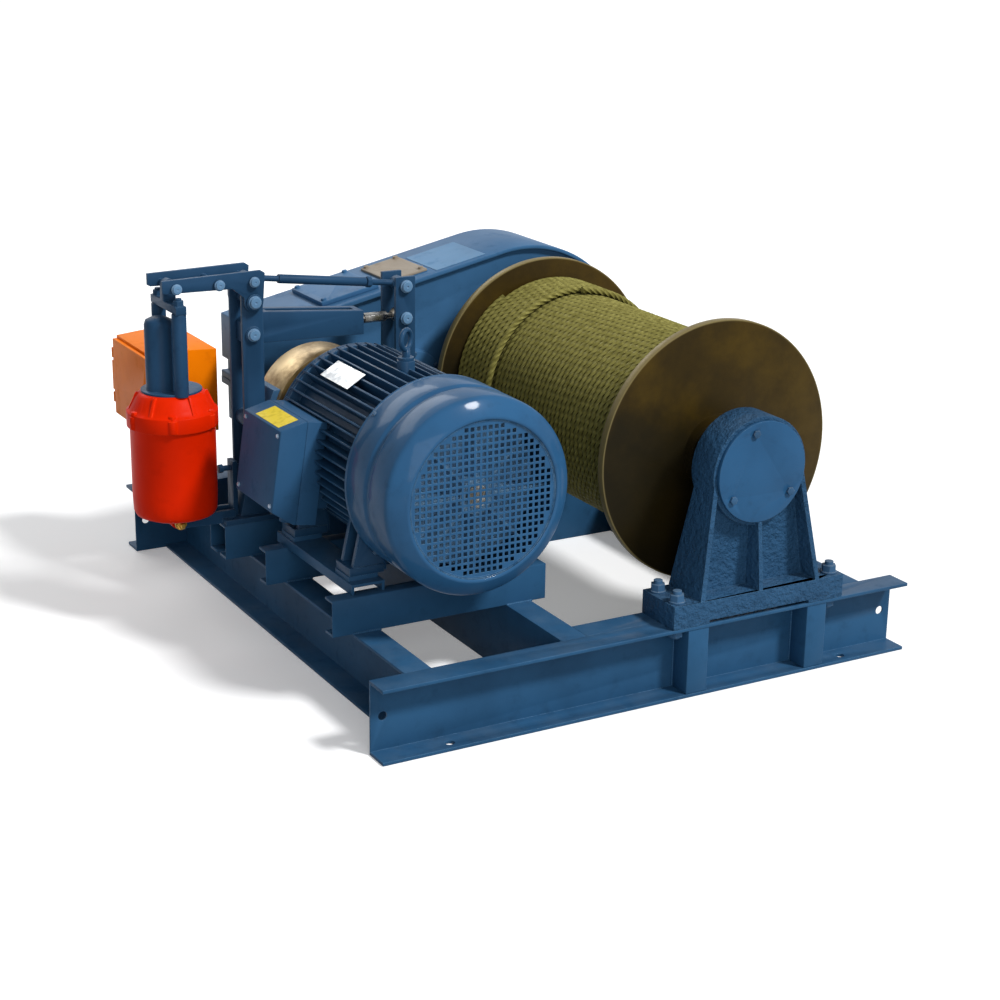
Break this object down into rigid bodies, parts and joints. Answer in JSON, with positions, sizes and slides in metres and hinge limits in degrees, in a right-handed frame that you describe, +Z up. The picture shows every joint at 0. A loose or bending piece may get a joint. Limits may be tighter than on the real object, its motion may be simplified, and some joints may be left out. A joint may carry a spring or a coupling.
{
  "type": "electric rope winch",
  "caption": "Electric rope winch on a channel frame, with a flanged motor, thruster-released drum brake, spur gearbox and a rope drum on an outboard bearing.",
  "frame": {"origin": "centre of the whole winch's footprint, on the floor under the frame", "axes": "+X runs from the brake thruster along the front beam to the frame's right end, +Y runs from the motor's fan end back towards the gearbox, +Z is up"},
  "size_m": [1.8682, 1.834, 1.024],
  "materials": {
    "blue_paint": "semi-gloss enamel over castings and plate",
    "dark_blue_paint": "worn blue paint over castings",
    "bare_steel": "turned and rolled steel, lightly oiled",
    "zinc_bolts": "zinc plated",
    "drum_paint": "thin olive-brown primer, greasy",
    "wire_rope": "stranded steel wire, greased",
    "thruster_red": "gloss red enamel",
    "control_orange": "gloss orange enamel",
    "brake_rim": "turned rim with a rust bloom",
    "lining": "painted shoe with a dark friction lining",
    "copper_winding": "varnished copper and laminated steel",
    "fan_plastic": "moulded"
  },
  "bodies": {
    "base": {"front_beam": "blue_paint", "back_beam": "blue_paint", "left_side_beam": "blue_paint", "middle_beam": "blue_paint", "right_side_beam": "blue_paint", "front_doubler": "blue_paint", "gearbox_cross_members": "blue_paint", "cross_beams": "blue_paint", "motor_rails": "blue_paint", "front_stiffeners": "blue_paint", "pedestal": "blue_paint", "pedestal_cover": "blue_paint", "pedestal_bearing": "bare_steel", "pedestal_bolts": "zinc_bolts", "gearbox_case": "blue_paint", "gearbox_cover": "blue_paint", "gearbox_hatches": "blue_paint", "bearing_caps": "blue_paint", "gearbox_bolts": "zinc_bolts", "gearbox_bearings": "bare_steel", "motor_body": "blue_paint", "drive_end_shield": "blue_paint", "fan_end_shield": "blue_paint", "fan_cowl": "blue_paint", "motor_stator": "copper_winding", "motor_bearings": "bare_steel", "terminal_box": "blue_paint", "terminal_lid": "blue_paint", "motor_eyebolt": "blue_paint", "motor_bolts": "zinc_bolts", "brake_base": "blue_paint", "control_box": "control_orange"},
    "drum": {"drum_shell": "drum_paint", "near_flange": "drum_paint", "far_flange": "drum_paint", "drum_shaft": "bare_steel", "rope_core": "wire_rope", "rope_winding": "wire_rope", "rope_clamp": "dark_blue_paint", "drum_gear": "bare_steel"},
    "second_shaft": {"second_gear_shaft": "bare_steel"},
    "first_shaft": {"first_gear_shaft": "bare_steel"},
    "motor_line": {"input_shaft": "bare_steel", "motor_fan": "fan_plastic", "motor_rotor": "bare_steel", "motor_coupling": "bare_steel", "brake_wheel": "brake_rim"},
    "left_arm": {"left_brake_arm": "blue_paint", "left_brake_shoe": "lining"},
    "right_arm": {"right_brake_arm": "blue_paint", "right_brake_shoe": "lining"},
    "lever": {"brake_lever": "blue_paint"},
    "tie": {"tie_rod": "blue_paint"},
    "spring_housing": {"spring_box": "blue_paint", "brake_spring": "bare_steel"},
    "spring_bar": {"spring_rod": "bare_steel"},
    "thruster": {"thruster_body": "thruster_red", "thruster_head": "blue_paint"},
    "lifting_rods": {"thruster_rods": "blue_paint"},
    "door": {"control_door": "control_orange"}
  },
  "joints": [
    {"name": "drum_spin", "type": "hinge", "parent": "base", "child": "drum", "pos_m": [0.425, 0.18, 0.59], "axis": [0, 1, 0], "continuous": true},
    {"name": "second_shaft_spin", "type": "hinge", "parent": "base", "child": "second_shaft", "pos_m": [0.035, 0.18, 0.59], "axis": [0, 1, 0], "continuous": true},
    {"name": "first_shaft_spin", "type": "hinge", "parent": "base", "child": "first_shaft", "pos_m": [-0.197, 0.18, 0.59], "axis": [0, 1, 0], "continuous": true},
    {"name": "motor_spin", "type": "hinge", "parent": "base", "child": "motor_line", "pos_m": [-0.342, 0.18, 0.59], "axis": [0, 1, 0], "continuous": true},
    {"name": "left_arm_swing", "type": "hinge", "parent": "base", "child": "left_arm", "pos_m": [-0.578, 0.18, 0.41], "axis": [0, 1, 0], "range_deg": [-0.75, 0]},
    {"name": "right_arm_swing", "type": "hinge", "parent": "base", "child": "right_arm", "pos_m": [-0.106, 0.18, 0.41], "axis": [0, 1, 0], "range_deg": [0, 0.75]},
    {"name": "lever_pivot", "type": "hinge", "parent": "left_arm", "child": "lever", "pos_m": [-0.578, 0.18, 0.937], "axis": [0, 1, 0], "range_deg": [0, 13.5]},
    {"name": "tie_pivot", "type": "hinge", "parent": "lever", "child": "tie", "pos_m": [-0.578, 0.18, 0.994], "axis": [0, 1, 0], "range_deg": [-13, 0]},
    {"name": "spring_box_pivot", "type": "hinge", "parent": "left_arm", "child": "spring_housing", "pos_m": [-0.578, 0.18, 0.843], "axis": [0, 1, 0], "range_deg": [0, 0.75]},
    {"name": "spring_rod_pivot", "type": "hinge", "parent": "right_arm", "child": "spring_bar", "pos_m": [-0.106, 0.18, 0.843], "axis": [0, 1, 0], "range_deg": [-0.75, 0], "deforming": ["brake_spring"]},
    {"name": "thruster_tilt", "type": "hinge", "parent": "base", "child": "thruster", "pos_m": [-0.803, 0.18, 0.32], "axis": [0, 1, 0], "range_deg": [0, 1]},
    {"name": "thruster_lift", "type": "slide", "parent": "thruster", "child": "lifting_rods", "axis": [0, 0, 1], "range_m": [0, 0.047]},
    {"name": "door_hinge", "type": "hinge", "parent": "base", "child": "door", "pos_m": [-0.7325, 0.868, 0.575], "axis": [0, 0, 1], "range_deg": [-110, 0]}
  ],
  "couplings": [
    {"joint": "second_shaft_spin", "follows": "drum_spin", "ratio": -5.5},
    {"joint": "first_shaft_spin", "follows": "drum_spin", "ratio": 17.286},
    {"joint": "motor_spin", "follows": "drum_spin", "ratio": -49.552},
    {"joint": "left_arm_swing", "follows": "thruster_lift", "rad_per_m": -0.25038},
    {"joint": "right_arm_swing", "follows": "thruster_lift", "rad_per_m": 0.25038},
    {"joint": "lever_pivot", "follows": "thruster_lift", "rad_per_m": 4.8512},
    {"joint": "tie_pivot", "follows": "thruster_lift", "rad_per_m": -4.6607},
    {"joint": "spring_box_pivot", "follows": "thruster_lift", "rad_per_m": 0.25038},
    {"joint": "spring_rod_pivot", "follows": "thruster_lift", "rad_per_m": -0.25038},
    {"joint": "thruster_tilt", "follows": "thruster_lift", "rad_per_m": 0.33254}
  ]
}
